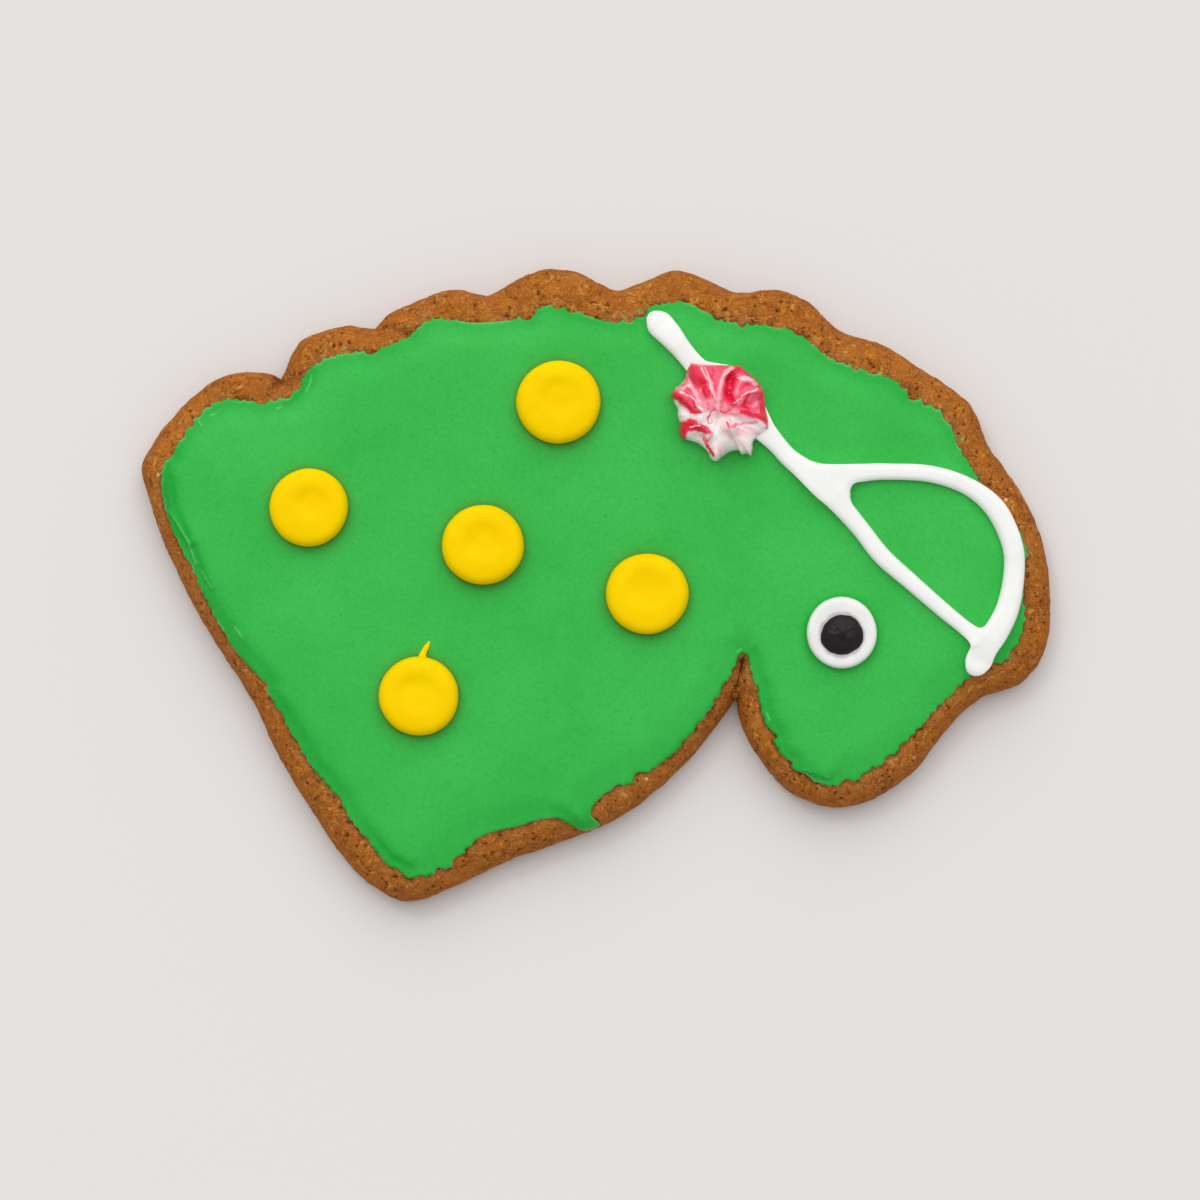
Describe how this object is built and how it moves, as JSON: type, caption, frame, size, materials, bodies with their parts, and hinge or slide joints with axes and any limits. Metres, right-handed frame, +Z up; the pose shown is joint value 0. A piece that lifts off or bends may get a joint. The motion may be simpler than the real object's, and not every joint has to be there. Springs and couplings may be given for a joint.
{
  "type": "iced gingerbread frog biscuit",
  "caption": "Flat gingerbread biscuit in an animal's profile, flooded with green icing, with yellow icing spots, an icing eye, a white piped line and a pink piped rosette.",
  "frame": {"origin": "centre of the outline's bounding box, at the underside that the biscuit rests on", "axes": "+Z up out of the iced face, +X along the length towards the head, +Y towards the scalloped back"},
  "size_m": [0.1201, 0.0836, 0.0136],
  "materials": {
    "gingerbread": "baked gingerbread, dry fine crumb",
    "green_icing": "set royal icing, satin matt",
    "yellow_icing": "set royal icing, satin",
    "white_icing": "set royal icing, satin",
    "pink_icing": "two-tone piped icing, crimson marbled with white, satin",
    "black_icing": "set royal icing, satin"
  },
  "bodies": {
    "root": {"biscuit": "gingerbread", "green_icing": "green_icing", "spot_1": "yellow_icing", "spot_2": "yellow_icing", "spot_3": "yellow_icing", "spot_4": "yellow_icing", "spot_5": "yellow_icing", "white_line": "white_icing", "rosette": "pink_icing", "eye_white": "white_icing", "eye_pupil": "black_icing"}
  },
  "joints": []
}
